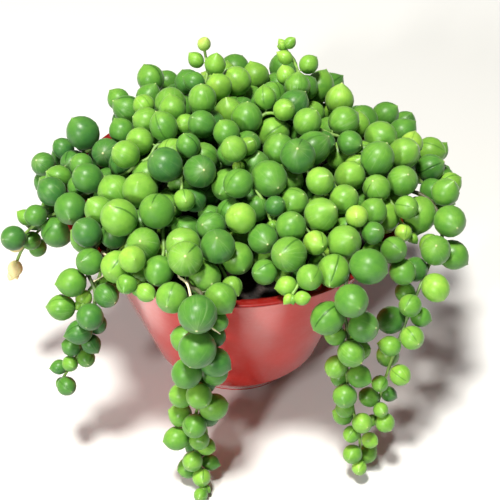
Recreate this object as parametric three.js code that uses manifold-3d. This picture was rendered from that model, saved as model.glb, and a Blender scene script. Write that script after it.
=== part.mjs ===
// A string of pearls in a shallow red nursery pot, in millimetres with Z up.
// The origin is the centre of the pot's flat foot, and -Y is the front.
// Round leaves sit on short stalks along thin stems, one node for each stem.

import * as THREE from 'three';
import { mergeVertices } from 'three/addons/utils/BufferGeometryUtils.js';
import Module from 'manifold-3d';

const wasm = await Module();
wasm.setup();

// ---- driving dimensions ------------------------------------------------------

const SEED = 7; // of the one stream of random numbers
const RIM_DIAMETER = 100;
const POT_HEIGHT = 63.6;
const LIP_THICKNESS = 1.0;
const LIP_TOP_WIDTH = 2.2;
const LIP_ROUND = 0.3;
const NECK_RADIUS = 45; // outside of the wall just under the lip
const NECK_DROP = 2.6; // from the lip's top down to the neck
const CHAMFER_RADIUS = 26.8;
const CHAMFER_HEIGHT = 9.9;
const FOOT_RADIUS = 19.1;
const FOOT_STEP = 1.4;
const WALL = 1.0;
const BASE = 1.2;
const POT_SIDES = 32;
const DRAIN_HOLES = 4;
const DRAIN_RADIUS = 2.6;
const DRAIN_CIRCLE = 11.5;
const DRAIN_SIDES = 8;

const SOIL_TOP = 59.4;
const SOIL_BUMP = 0.45;
const SOIL_FALL = 0.0006; // per square millimetre from the middle
const SOIL_RINGS = 4;
const SOIL_GAP = 0.9; // between the soil's faceted side and the wall
const SOIL_EDGE = 1.4; // from the soil's top down to the edge of its side
const HOLE_DEPTH = 8;
const HOLE_SIDES = 5;
const HOLE_RADIUS = 1.26; // round a stem's corners
const CLEARANCE = 0.3; // under the soil and round a leaf's tip

const STEM_RADIUS = 0.9; // to the corners of the three-sided stem
const STEM_SIDES = 3;
const STEP = 4; // from one joint of a stem to the next
const ROOT_DEPTH = 6.5;
const LEAF_STEP = 4.3; // along the stem from leaf to leaf
const LEAF_TURN = 2.4; // radians round the stem from leaf to leaf
const LEAF_TURN_SPREAD = 0.6;
const LEAF_LEAN = 0.35; // towards the stem's tip
const LEAF_LIGHT = [0, -0.45, 0.3]; // and towards the light, times the stem's lean
const BARE_LENGTH = 13; // leafless stretch above the soil
const LEAF_RADIUS = 4.35;
const LEAF_LEAST = 0.82; // the least share of that radius, and the random part on top
const LEAF_SPREAD = 0.28;
const BUD_SHARE = 0.42; // the last bud's radius against a grown leaf's
const GROWTH_POWER = 0.8; // of the size law along the taper
const CROWN_HABIT = { size: 1, taper: 11, spacing: 1, lean: 1 }; // as for the trails below
const BARE = null; // the habit of a stem without leaves
const STEM_ASIDE = [0.31, 0.23, 0.92]; // no stem runs along this direction
const LEAF_ASIDE = [0.2, 0.9, 0.4]; // and no leaf points along this one
const STALK = 1.1; // from the leaf's round body to the stem's axis
const FOOT_BACK = 0.2; // the stalk's foot lies this share of a step behind its joint
const LEAF_SIDES = 5;
const LEAF_RINGS = [-0.45, 0.42];
const TIP_SHARE = 1.2; // the pointed tip's reach against the radius
const TRAIL_SKIP = 5; // every fifth leaf of a trailing stem is left out of the solids
const CROWN_SKIP = 2; // and every second one in the crown, but none near a tip

const SETTLE_ROUNDS = 300;
const STEM_BERTH = 1.7; // kept clear round a stem's axis
const LEAF_BERTH = 0.3; // kept clear round a leaf
const POT_BERTH = 0.45; // added against the pot
const SOIL_MARGIN = 0.6; // over the soil's highest crumbs
const FLOOR_MARGIN = 0.1;
const HOME_PULL = 0.03; // share of the way back to its planned place in each round
const BEND_HOLD = 0.3; // how firmly a stem keeps its planned bends
const OVERSHOOT = 1.4; // of the mean push
const PULL_FADE = 1.5; // the pull ends after one part in this of the rounds
const FIXED_JOINTS = 3;
const TINY = 1e-6;

// ---- the growing plan ---------------------------------------------------------

// The crown is a low dome. Its reach differs to the left, right, front and back.
const CROWN = { base: 61, height: 26, left: 57, right: 62, front: 50, back: 55, fall: 1.8 };
const ROOT_SHARE = 0.82; // a stem's root against the place where it breaks through
const ROOT_LIMIT = 0.62;
const BREAK_DEPTH = 5; // below the dome where a stem starts to lean outwards
const SWAY = 0.25; // radians to either side along a stem
const SWAY_PHASE = 1.9; // radians from one crown joint to the next
const CROWN_JOINTS = 3; // after the place where the stem breaks through

// Inner crown stems stand in two rings. Each breaks through the dome and ends at
// a share of its reach.
const RINGS = [
  { count: 3, turn: 40, from: 0.06, to: 0.30 },
  { count: 8, turn: 10, from: 0.26, to: 0.62 },
];

const RING_SPREAD = 0.3; // the random part of the way to the next stem

// Outer crown stems: compass angle in degrees (0 is +X) and share of the reach.
const OUTER_FROM = 0.56;
const OUTER = [
  [-124, 0.93], [-96, 0.92], [-76, 0.86], [-60, 0.86], [-38, 0.92], [-20, 0.9],
  [0, 1.0], [17, 1.1], [35, 1.0], [54, 0.95], [77, 1.03], [94, 0.97],
  [110, 0.92], [135, 0.86], [165, 1.0], [191, 1.09], [220, 1.08],
];

// Stems that trail over the rim or stand out of the crown: joints by hand, after
// the root's x and y. Leaves shrink over the last taper millimetres, spacing stretches
// the way between them, and lean is how much they turn to the light.
const TRAILS = {
  trail_left: { size: 0.92, taper: 45, spacing: 1.1, lean: 2, route: [
    [-29, 2], [-37, 4, 69], [-45, 2, 69], [-51, 1, 62], [-55, -2, 56], [-63, -6, 48], [-66, -9, 42]] },
  trail_left_front: { size: 0.98, taper: 50, spacing: 1.45, lean: 2.5, route: [
    [-25, -15], [-33, -24, 69], [-38, -34, 68], [-39, -41, 59], [-40, -41, 50], [-42, -40, 42],
    [-46, -40, 35], [-50, -41, 28]] },
  trail_front: { size: 1.16, taper: 80, spacing: 1.05, lean: 2, route: [
    [-11, -25], [-12, -34, 68], [-12, -48, 69], [-8, -54, 61], [-10, -54, 48], [-11, -54, 40],
    [-11, -54, 30], [-13, -54, 20], [-12, -54, 12], [-11, -54, 5.5], [-10, -60, 3.6]] },
  trail_right_front: { size: 1.0, taper: 60, spacing: 1.4, lean: 2.5, route: [
    [22, -18], [25, -28, 69], [28, -39, 71], [28, -45, 68], [29, -48, 57], [30, -48, 50],
    [30, -48, 41], [31, -49, 31], [33, -50, 22], [35, -51, 13], [35, -53, 5]] },
  trail_right: { size: 1.08, taper: 70, spacing: 1.25, lean: 1.5, route: [
    [33, -7], [42, -9, 71], [54, -14, 71], [58, -20, 64], [53, -30, 59], [48, -38, 51],
    [44, -43, 40], [41, -46, 29], [39, -49, 20]] },
  spill_left: { size: 1.11, taper: 18, spacing: 1, lean: 1, route: [
    [-18, -22], [-23, -29, 70], [-30, -34, 71], [-27, -46, 68]] },
  spill_right: { size: 1.05, taper: 18, spacing: 1, lean: 1, route: [
    [13, -24], [15, -30, 69], [18, -39, 71], [15, -49, 68]] },
  sprout_left: { size: 0.92, taper: 18, spacing: 1, lean: 1, route: [
    [-11, 8], [-10, 15, 80], [-8, 24, 88], [-9, 30, 94]] },
  sprout_right: { size: 0.88, taper: 20, spacing: 1, lean: 1, route: [
    [12, 13], [15, 20, 79], [19, 28, 86], [15, 31, 93]] },
  trail_back: { size: 1.0, taper: 60, spacing: 1.3, lean: -1, route: [
    [12, 34], [15, 42, 72], [18, 52, 68], [19, 57, 56], [19, 57, 44], [18, 57, 32], [19, 58, 20]] },
  trail_back_left: { size: 0.95, taper: 50, spacing: 1.3, lean: -1, route: [
    [-20, 30], [-23, 40, 72], [-26, 50, 68], [-28, 54, 56], [-28, 54, 44], [-27, 55, 34]] },
};

const LEAF_GREEN = 0x6fae3c;
const POT_RED = 0xc23a34;
const SOIL_BROWN = 0x1c130d;
const STRAW = 0xd9c79c;

// Dry, leafless old stems that lie over the rim.
const STRAWS = {
  dry_stem_long: [[-16, -33], [-17, -41, 69], [-15, -50, 70], [-10, -56, 66], [-4, -58, 61]],
  dry_stem_left: [[-32, -19], [-34, -27, 66], [-36, -36, 66.8], [-40, -41, 63]],
};
const STRAW_RADIUS = 0.6;

// ---- small helpers ------------------------------------------------------------

// A repeatable stream of numbers between 0 and 1, where each follows from the last.
function stream(seed) {
  const modulus = 2147483647;
  let state = seed;
  return () => {
    state = (state * 48271) % modulus;
    return state / modulus;
  };
}

function solid(geometry) {
  const bare = geometry.clone();
  bare.deleteAttribute('normal');
  bare.deleteAttribute('uv');
  const merged = mergeVertices(bare, 1e-4);
  return new wasm.Manifold(new wasm.Mesh({
    numProp: 3,
    vertProperties: new Float32Array(merged.attributes.position.array),
    triVerts: new Uint32Array(merged.index.array),
  }));
}

function geometryOf(manifold) {
  const mesh = manifold.getMesh();
  const geometry = new THREE.BufferGeometry();
  geometry.setAttribute('position', new THREE.BufferAttribute(new Float32Array(mesh.vertProperties), 3));
  geometry.setIndex(new THREE.BufferAttribute(new Uint32Array(mesh.triVerts), 1));
  geometry.computeVertexNormals();
  return geometry;
}

function node(name, manifold, color, roughness) {
  const material = new THREE.MeshStandardMaterial({ color, roughness, metalness: 0, flatShading: true });
  const mesh = new THREE.Mesh(geometryOf(manifold), material);
  mesh.name = name;
  return mesh;
}

// ---- pot and soil -------------------------------------------------------------

const RIM = RIM_DIAMETER / 2;

// Outline of the pot's wall from the foot's centre, out, up, over the lip and back in.
const POT_OUTLINE = [
  [0, 0],
  [FOOT_RADIUS, 0],
  [FOOT_RADIUS + 0.3, FOOT_STEP],
  [FOOT_RADIUS + 1.2, FOOT_STEP + 0.5],
  [CHAMFER_RADIUS, CHAMFER_HEIGHT],
  [NECK_RADIUS, POT_HEIGHT - NECK_DROP],
  [RIM - LIP_TOP_WIDTH, POT_HEIGHT - LIP_THICKNESS - 0.5],
  [RIM - LIP_ROUND, POT_HEIGHT - LIP_THICKNESS],
  [RIM, POT_HEIGHT - LIP_THICKNESS / 2],
  [RIM - LIP_ROUND, POT_HEIGHT],
  [RIM - LIP_TOP_WIDTH, POT_HEIGHT],
  [RIM - LIP_TOP_WIDTH - 1.4, POT_HEIGHT - 0.8],
  [NECK_RADIUS - WALL, POT_HEIGHT - NECK_DROP - 0.6],
  [CHAMFER_RADIUS - WALL, CHAMFER_HEIGHT + 0.5],
  [FOOT_RADIUS - 0.4, BASE + 1.6],
  [FOOT_RADIUS - 1.4, BASE],
  [0, BASE],
];

function makePot() {
  const points = POT_OUTLINE.map(([r, z]) => new THREE.Vector2(r, z));
  let pot = solid(new THREE.LatheGeometry(points, POT_SIDES).rotateX(Math.PI / 2));
  for (let i = 0; i < DRAIN_HOLES; i += 1) {
    const angle = (i + 0.5) * 2 * Math.PI / DRAIN_HOLES;
    const drill = new THREE.CylinderGeometry(DRAIN_RADIUS, DRAIN_RADIUS, 4 * BASE, DRAIN_SIDES);
    drill.rotateX(Math.PI / 2).translate(DRAIN_CIRCLE * Math.cos(angle), DRAIN_CIRCLE * Math.sin(angle), 0);
    pot = pot.subtract(solid(drill));
  }
  return pot;
}

// Height of the soil: a slight fall from the middle, with crossed waves for crumbs.
function soilHeight(x, y) {
  const crumbs = Math.sin(0.55 * x + 1.3) * Math.cos(0.47 * y) + 0.6 * Math.sin(0.31 * x - 0.83 * y);
  return SOIL_TOP + SOIL_BUMP * crumbs / 1.6 - SOIL_FALL * (x * x + y * y);
}

// The soil fills the pot: a lathed plug whose top rings are lifted by the height.
function makeSoil(roots) {
  const top = NECK_RADIUS - WALL - SOIL_GAP;
  const profile = [
    [0, BASE + CLEARANCE],
    [FOOT_RADIUS - 2.2, BASE + CLEARANCE],
    [CHAMFER_RADIUS - WALL - SOIL_GAP, CHAMFER_HEIGHT + 0.7],
    [top, SOIL_TOP - SOIL_EDGE],
  ];
  for (let i = 1; i <= SOIL_RINGS; i += 1) profile.push([top * (1 - i / SOIL_RINGS), SOIL_TOP]);
  const points = profile.map(([r, z]) => new THREE.Vector2(r, z));
  const geometry = new THREE.LatheGeometry(points, POT_SIDES).rotateX(Math.PI / 2);
  const position = geometry.attributes.position;
  for (let i = 0; i < position.count; i += 1) {
    if (position.getZ(i) > SOIL_TOP - 0.1) {
      position.setZ(i, soilHeight(position.getX(i), position.getY(i)));
    }
  }
  let soil = solid(geometry);
  for (const root of roots) {
    const drill = new THREE.CylinderGeometry(HOLE_RADIUS, HOLE_RADIUS, 2 * HOLE_DEPTH, HOLE_SIDES);
    drill.rotateX(Math.PI / 2).translate(root.x, root.y, SOIL_TOP);
    soil = soil.subtract(solid(drill));
  }
  return soil;
}

// ---- stems and leaves ---------------------------------------------------------

function crownHeight(x, y) {
  const across = x / (x < 0 ? CROWN.left : CROWN.right);
  const along = y / (y < 0 ? CROWN.front : CROWN.back);
  return CROWN.base + CROWN.height * (1 - Math.pow(Math.hypot(across, along), CROWN.fall));
}

function crownReach(angle) {
  const c = Math.cos(angle);
  const s = Math.sin(angle);
  return 1 / Math.hypot(c / (c < 0 ? CROWN.left : CROWN.right), s / (s < 0 ? CROWN.front : CROWN.back));
}

// A crown stem rises from the soil, breaks through the dome and runs outwards on it.
function crownRoute(angle, from, to, random) {
  const reach = crownReach(angle);
  const sway = (random() - 0.5) * SWAY;
  const place = (share, turn) => [
    share * reach * Math.cos(angle + turn),
    share * reach * Math.sin(angle + turn),
  ];
  const route = [place(Math.min(from * ROOT_SHARE, ROOT_LIMIT), 0)];
  for (let i = 0; i <= CROWN_JOINTS; i += 1) {
    const share = from + (to - from) * i / CROWN_JOINTS;
    const [x, y] = place(share, sway * Math.sin(i * SWAY_PHASE));
    route.push([x, y, crownHeight(x, y) - (i === 0 ? BREAK_DEPTH : 0)]);
  }
  return route;
}

// Joints of a stem: straight up out of the soil, then a smooth curve by even steps.
function stemJoints(route) {
  const [x, y] = route[0];
  const low = new THREE.Vector3(x, y, SOIL_TOP - ROOT_DEPTH);
  const high = new THREE.Vector3(x, y, SOIL_TOP - ROOT_DEPTH + 2 * STEP);
  const later = route.slice(1).map((p) => new THREE.Vector3(...p));
  const curve = new THREE.CatmullRomCurve3([high, ...later], false, 'centripetal');
  const count = Math.round(curve.getLength() / STEP);
  return [low, low.clone().setZ(low.z + STEP), ...curve.getSpacedPoints(count)];
}

// Leaves take turns round the stem, full-grown from the crown on and small at the tip.
function addLeaves(plant, stem, { size, taper, spacing, lean }, random) {
  const { joints } = stem;
  const length = (joints.length - 1) * STEP;
  let turn = random() * 2 * Math.PI;
  let s = ROOT_DEPTH + BARE_LENGTH;
  while (s <= length) {
    const left = Math.max(0, length - s);
    const grown = BUD_SHARE + (1 - BUD_SHARE) * Math.min(1, left / taper) ** GROWTH_POWER;
    const radius = LEAF_RADIUS * size * grown * (LEAF_LEAST + LEAF_SPREAD * random());
    const at = Math.min(joints.length - 1, Math.round(s / STEP));
    const run = joints[Math.min(joints.length - 1, at + 1)].clone().sub(joints[at - 1]).normalize();
    const side = new THREE.Vector3(...STEM_ASIDE).cross(run).normalize();
    const other = run.clone().cross(side);
    const out = side.multiplyScalar(Math.cos(turn)).addScaledVector(other, Math.sin(turn));
    const light = new THREE.Vector3(...LEAF_LIGHT).multiplyScalar(lean);
    out.addScaledVector(run, LEAF_LEAN).add(light).normalize();
    const point = joints[at].clone().addScaledVector(out, radius + STALK);
    plant.leaves.push({ stem, at, radius, point });
    turn += LEAF_TURN + (random() - 0.5) * LEAF_TURN_SPREAD;
    s += LEAF_STEP * spacing * (1 + grown) / 2;
  }
}

function growPlant() {
  const random = stream(SEED);
  const plant = { stems: [], leaves: [] };
  const grow = (name, route, habit) => {
    const stem = { name, joints: stemJoints(route), leafy: habit !== BARE };
    stem.skip = name in TRAILS ? TRAIL_SKIP : CROWN_SKIP;
    plant.stems.push(stem);
    if (stem.leafy) addLeaves(plant, stem, habit, random);
  };
  for (const [name, trail] of Object.entries(TRAILS)) grow(name, trail.route, trail);
  RINGS.forEach((ring, r) => {
    for (let i = 0; i < ring.count; i += 1) {
      const degrees = ring.turn + 360 * (i + RING_SPREAD * (random() - 0.5)) / ring.count;
      const route = crownRoute(degrees * Math.PI / 180, ring.from, ring.to, random);
      grow(`crown_${'ab'[r]}${i + 1}`, route, CROWN_HABIT);
    }
  });
  OUTER.forEach(([degrees, to], i) => {
    const route = crownRoute(degrees * Math.PI / 180, OUTER_FROM, to, random);
    grow(`crown_c${i + 1}`, route, CROWN_HABIT);
  });
  for (const [name, route] of Object.entries(STRAWS)) grow(name, route, BARE);
  return plant;
}

// ---- settling: nothing crosses its neighbour, the pot, the soil or the floor ---

// Nearest point of the pot's outline to a point at radius r and height z.
function nearestOnPot(r, z) {
  let best = { far: Infinity, r: 0, z: 0 };
  for (let i = 2; i < 12; i += 1) {
    const [ar, az] = POT_OUTLINE[i];
    const [br, bz] = POT_OUTLINE[i + 1];
    const span = (br - ar) ** 2 + (bz - az) ** 2;
    const t = Math.min(1, Math.max(0, ((r - ar) * (br - ar) + (z - az) * (bz - az)) / span));
    const pr = ar + t * (br - ar);
    const pz = az + t * (bz - az);
    const far = Math.hypot(r - pr, z - pz);
    if (far < best.far) best = { far, r: pr, z: pz };
  }
  return best;
}

// Every joint and leaf is a point with a berth. The lowest joints stay in the soil.
function settlingPoints(plant) {
  const points = [];
  for (const stem of plant.stems) {
    stem.first = points.length;
    stem.joints.forEach((p, i) => {
      points.push({ p, stem, leaf: false, berth: STEM_BERTH, fixed: i < FIXED_JOINTS });
    });
  }
  for (const leaf of plant.leaves) {
    leaf.first = points.length;
    const berth = leaf.radius + LEAF_BERTH;
    points.push({ p: leaf.point, stem: leaf.stem, leaf: true, berth, fixed: false });
  }
  return points;
}

// Links keep a stem's steps and its gentle bends, and each leaf at the end of its stalk.
function settlingLinks(plant) {
  const links = [];
  for (const { first, joints } of plant.stems) {
    for (let i = 0; i + 1 < joints.length; i += 1) {
      links.push([first + i, first + i + 1, joints[i].distanceTo(joints[i + 1]), 1]);
    }
    for (let i = 0; i + 2 < joints.length; i += 1) {
      links.push([first + i, first + i + 2, joints[i].distanceTo(joints[i + 2]), BEND_HOLD]);
    }
  }
  for (const leaf of plant.leaves) {
    links.push([leaf.first, leaf.stem.first + leaf.at, leaf.radius + STALK, 1]);
  }
  return links;
}

// The push on a point that comes too near the soil, the pot or the floor.
function pushFromPot({ p, berth }, push) {
  const r = Math.hypot(p.x, p.y);
  const onSoil = SOIL_TOP + SOIL_MARGIN + berth;
  if (p.z < onSoil && r < NECK_RADIUS - WALL) push(0, 0, onSoil - p.z);
  const near = nearestOnPot(r, p.z);
  if (near.far < berth + POT_BERTH) {
    const k = (berth + POT_BERTH - near.far) / Math.max(near.far, TINY);
    const outward = k * (r - near.r) / Math.max(r, TINY);
    push(outward * p.x, outward * p.y, k * (p.z - near.z));
  }
  if (p.z < berth + FLOOR_MARGIN) push(0, 0, berth + FLOOR_MARGIN - p.z);
}

// In each round every point moves by the mean of its pushes, and a little back towards
// its planned place while the rounds are young.
function settle(plant) {
  const points = settlingPoints(plant);
  const links = settlingLinks(plant);
  const home = points.map((point) => point.p.clone());
  const sum = points.map(() => new THREE.Vector3());
  const count = points.map(() => 0);
  const push = (i, x, y, z) => {
    sum[i].x += x;
    sum[i].y += y;
    sum[i].z += z;
    count[i] += 1;
  };
  const pushPair = (i, j, k, d) => {
    push(i, -k * d.x, -k * d.y, -k * d.z);
    push(j, k * d.x, k * d.y, k * d.z);
  };
  const d = new THREE.Vector3();
  for (let round = 0; round < SETTLE_ROUNDS; round += 1) {
    sum.forEach((v) => v.set(0, 0, 0));
    count.fill(0);
    for (const [i, j, rest, hold] of links) {
      const far = d.subVectors(points[j].p, points[i].p).length();
      pushPair(i, j, hold * 0.5 * (rest - far) / Math.max(far, TINY), d);
    }
    points.forEach((a, i) => {
      for (let j = i + 1; j < points.length; j += 1) {
        const b = points[j];
        if (a.stem === b.stem && !(a.leaf && b.leaf)) continue;
        const reach = a.berth + b.berth;
        const far = d.subVectors(b.p, a.p).length();
        if (far < reach) pushPair(i, j, 0.5 * (reach - far) / Math.max(far, TINY), d);
      }
    });
    const pull = HOME_PULL * Math.max(0, 1 - PULL_FADE * round / SETTLE_ROUNDS);
    points.forEach((point, i) => {
      if (point.fixed) return;
      pushFromPot(point, (x, y, z) => push(i, x, y, z));
      d.subVectors(home[i], point.p).multiplyScalar(pull);
      point.p.addScaledVector(sum[i], OVERSHOOT / Math.max(1, count[i])).add(d);
    });
  }
}

// ---- solids of a leafy stem ---------------------------------------------------

// A path that passes through every joint at even steps of its parameter.
class JointPath extends THREE.Curve {
  constructor(joints) {
    super();
    this.joints = joints;
  }

  getPoint(t, target = new THREE.Vector3()) {
    const place = Math.min(1, Math.max(0, t)) * (this.joints.length - 1);
    const i = Math.min(this.joints.length - 2, Math.floor(place));
    return target.lerpVectors(this.joints[i], this.joints[i + 1], place - i);
  }

  getPointAt(u, target) {
    return this.getPoint(u, target);
  }

  getTangentAt(u, target) {
    return this.getTangent(u, target);
  }
}

function stemSolid(joints, radius) {
  const section = new THREE.Shape();
  for (let i = 0; i < STEM_SIDES; i += 1) {
    const a = i * 2 * Math.PI / STEM_SIDES;
    if (i === 0) section.moveTo(radius * Math.cos(a), radius * Math.sin(a));
    else section.lineTo(radius * Math.cos(a), radius * Math.sin(a));
  }
  return solid(new THREE.ExtrudeGeometry(section, {
    steps: joints.length - 1, bevelEnabled: false, extrudePath: new JointPath(joints),
  }));
}

// A bead of two rings and two poles: the inner pole is the stalk's foot on the stem's
// axis, and the outer one is the pointed tip. The rings' heights are shares of the radius.
function leafSolid(centre, foot, radius, tip) {
  const out = centre.clone().sub(foot).normalize();
  const side = new THREE.Vector3(...LEAF_ASIDE).cross(out).normalize();
  const other = out.clone().cross(side);
  const spots = [foot.clone()];
  LEAF_RINGS.forEach((height, ring) => {
    const wide = Math.sqrt(1 - height * height);
    for (let i = 0; i < LEAF_SIDES; i += 1) {
      const a = (i + ring / 2) * 2 * Math.PI / LEAF_SIDES;
      spots.push(centre.clone()
        .addScaledVector(out, radius * height)
        .addScaledVector(side, radius * wide * Math.cos(a))
        .addScaledVector(other, radius * wide * Math.sin(a)));
    }
  });
  spots.push(centre.clone().addScaledVector(out, tip));
  const faces = [];
  for (let i = 0; i < LEAF_SIDES; i += 1) {
    const next = (i + 1) % LEAF_SIDES;
    const lowA = 1 + i;
    const lowB = 1 + next;
    const highA = 1 + LEAF_SIDES + i;
    const highB = 1 + LEAF_SIDES + next;
    faces.push(0, lowB, lowA, lowA, lowB, highA, lowB, highB, highA, highA, highB, spots.length - 1);
  }
  return new wasm.Manifold(new wasm.Mesh({
    numProp: 3,
    vertProperties: new Float32Array(spots.flatMap((v) => [v.x, v.y, v.z])),
    triVerts: new Uint32Array(faces),
  }));
}

// A tip is as long as its neighbours leave room for.
function tipReach(leaf, plant) {
  const out = leaf.point.clone().sub(leaf.stem.joints[leaf.at]).normalize();
  const others = plant.leaves.filter((other) => other !== leaf);
  const spots = others.map(({ point, radius }) => [point, radius]);
  plant.stems.forEach(({ joints }) => joints.forEach((joint) => spots.push([joint, STEM_BERTH])));
  const clear = (share) => {
    const tip = leaf.point.clone().addScaledVector(out, leaf.radius * share);
    return spots.every(([spot, berth]) => tip.distanceTo(spot) > berth + CLEARANCE);
  };
  return leaf.radius * [TIP_SHARE, (1 + TIP_SHARE) / 2, 1].find((share) => share === 1 || clear(share));
}

const plant = growPlant();
settle(plant);

const group = new THREE.Group();
group.add(node('pot', makePot(), POT_RED, 0.25));
group.add(node('soil', makeSoil(plant.stems.map((stem) => stem.joints[0])), SOIL_BROWN, 0.95));

for (const stem of plant.stems) {
  const leaves = plant.leaves.filter((leaf) => leaf.stem === stem).reverse();
  let body = stemSolid(stem.joints, stem.leafy ? STEM_RADIUS : STRAW_RADIUS);
  leaves.forEach((leaf, fromTip) => {
    if (fromTip > 1 && fromTip % stem.skip === stem.skip - 1) return;
    const foot = stem.joints[leaf.at].clone().lerp(stem.joints[leaf.at - 1], FOOT_BACK);
    body = body.add(leafSolid(leaf.point, foot, leaf.radius, tipReach(leaf, plant)));
  });
  group.add(node(stem.name, body, stem.leafy ? LEAF_GREEN : STRAW, 0.5));
}

export default group;
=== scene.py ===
import math
import bpy
import numpy as np
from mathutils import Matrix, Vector


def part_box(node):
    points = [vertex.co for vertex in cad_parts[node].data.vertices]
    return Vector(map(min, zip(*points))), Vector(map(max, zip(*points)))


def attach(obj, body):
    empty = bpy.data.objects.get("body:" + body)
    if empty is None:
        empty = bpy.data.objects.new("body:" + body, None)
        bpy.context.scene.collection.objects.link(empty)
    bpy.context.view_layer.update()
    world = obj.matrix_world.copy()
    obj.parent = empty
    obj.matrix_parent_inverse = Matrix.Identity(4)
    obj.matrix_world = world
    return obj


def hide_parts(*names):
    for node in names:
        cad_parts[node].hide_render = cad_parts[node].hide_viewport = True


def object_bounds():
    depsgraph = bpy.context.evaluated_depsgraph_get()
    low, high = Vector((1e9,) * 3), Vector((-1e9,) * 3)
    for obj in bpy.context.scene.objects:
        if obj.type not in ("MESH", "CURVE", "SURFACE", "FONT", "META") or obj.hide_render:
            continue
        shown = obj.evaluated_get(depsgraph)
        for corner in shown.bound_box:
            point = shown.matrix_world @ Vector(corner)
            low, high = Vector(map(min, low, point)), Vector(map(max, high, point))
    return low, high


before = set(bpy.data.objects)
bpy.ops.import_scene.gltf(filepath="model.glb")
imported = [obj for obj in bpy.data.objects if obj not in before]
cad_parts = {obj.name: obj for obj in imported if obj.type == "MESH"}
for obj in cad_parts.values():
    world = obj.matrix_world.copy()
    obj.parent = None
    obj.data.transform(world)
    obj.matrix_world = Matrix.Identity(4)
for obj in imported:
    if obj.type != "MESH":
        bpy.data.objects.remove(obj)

# A potted string of pearls. Lengths are in millimetres until they enter a mesh.
# The origin is the centre of the pot's foot, -Y is the front and +Z is up.
cadBox = [list(corner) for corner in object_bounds()]
toMetres = 0.001
fullTurn = 2 * math.pi
tiny = 1e-6
print("frame loaded with", len(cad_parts), "nodes")


# Each row of a table of vectors divided by its own length.
def unit(vectors):
    return vectors / np.maximum(np.linalg.norm(vectors, axis=-1, keepdims=True), 1e-9)


# The share t of the way from low to high, clipped to 0..1 and eased as 3t^2 - 2t^3.
def ease(value, low, high):
    t = np.clip((value - low) / (high - low), 0, 1)
    return t * t * (3 - 2 * t)


# Cosines and sines of even turns round a circle, moved on by a shift counted in steps.
def circle(sides, shift=0.0):
    angles = fullTurn * (np.arange(sides) + shift) / sides
    return np.cos(angles), np.sin(angles)


# Faces of joined rings with a pole at both ends: four corners between rings, three at a
# pole. Each corner has the number of its point and its place on the map, (around, along),
# where along is given for each ring and pole. The clip sends rings past the ends to a pole.
def ringFaces(sides, along):
    along = np.asarray(along, float)
    rings = len(along) - 2
    side = np.arange(sides)[:, None]
    ring = np.repeat(np.arange(rings - 1), sides)[:, None]

    def cornersAt(ring, side):
        ring, side = np.broadcast_arrays(ring, side)
        number = 1 + ring * sides + side.astype(int) % sides
        return np.clip(number, 0, 1 + rings * sides), np.stack([side / sides, along[ring + 1]], -1)

    quads = cornersAt(ring + (0, 0, 1, 1), np.tile(side, (rings - 1, 1)) + (0, 1, 1, 0))
    bottom = cornersAt((-1, 0, 0), side + (0.5, 1, 0))
    top = cornersAt((rings - 1, rings - 1, rings), side + (0, 1, 0.5))
    return quads, [np.concatenate(both) for both in zip(bottom, top)]


# Many shapes with the same faces as one patch: shapes is a table of shape by point, and
# each of the named values holds one number for each shape or for each of its points.
def patchOf(shapes, faces, finish=0, **values):
    count, size = shapes.shape[:2]
    offset = (size * np.arange(count))[:, None, None]
    quads, triangles = [(numbers + offset).ravel() for numbers, _ in faces]
    sizes = np.repeat([4, 3], [len(quads) // 4, len(triangles) // 3])
    for name, value in values.items():
        value = np.asarray(value, float)
        value = value.reshape(count, -1) if value.ndim else value
        values[name] = np.broadcast_to(value, (count, size)).reshape(-1)
    return {
        "points": shapes.reshape(-1, 3),
        "corners": np.append(quads, triangles),
        "places": np.vstack([np.tile(onMap, (count, 1, 1)).reshape(-1, 2) for _, onMap in faces]),
        "sizes": sizes,
        "finish": np.full(len(sizes), finish),
        "values": values,
    }


# One mesh object out of patches, written as whole arrays, that rides on the part's body.
# It is subdivided the given number of rounds, which draws its corners in. A value that a
# later patch lacks is 0 there.
def makePiece(name, patches, materials, replaced, rounds=0):
    def joined(key, kind=np.int32):
        return np.concatenate([patch[key] for patch in patches]).astype(kind)

    counts = [len(patch["points"]) for patch in patches]
    offsets = np.repeat(np.cumsum([0] + counts[:-1]), [len(patch["corners"]) for patch in patches])
    sizes = joined("sizes")
    mesh = bpy.data.meshes.new(name)
    mesh.vertices.add(sum(counts))
    mesh.vertices.foreach_set("co", (joined("points", float) * toMetres).astype(np.float32).ravel())
    mesh.loops.add(len(offsets))
    mesh.loops.foreach_set("vertex_index", joined("corners") + offsets.astype(np.int32))
    mesh.polygons.add(len(sizes))
    mesh.polygons.foreach_set("loop_start", np.cumsum(sizes, dtype=np.int32) - sizes)
    mesh.polygons.foreach_set("material_index", joined("finish"))
    mesh.polygons.foreach_set("use_smooth", np.ones(len(sizes), bool))
    mesh.uv_layers.new(name="pieceMap")
    mesh.uv_layers["pieceMap"].data.foreach_set("uv", joined("places", np.float32).ravel())
    for label in patches[0]["values"]:
        column = [patch["values"].get(label, np.zeros(count)) for patch, count in zip(patches, counts)]
        column = np.concatenate(column).astype(np.float32)
        mesh.attributes.new(label, "FLOAT", "POINT").data.foreach_set("value", column)
    for material in materials:
        mesh.materials.append(material)
    mesh.update(calc_edges=True)
    mesh.validate()
    piece = bpy.data.objects.new(name, mesh)
    bpy.context.scene.collection.objects.link(piece)
    if rounds:
        smooth = piece.modifiers.new("smooth", "SUBSURF")
        smooth.levels = rounds
        smooth.render_levels = rounds
    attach(piece, "root")
    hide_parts(replaced)
    return piece


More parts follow.
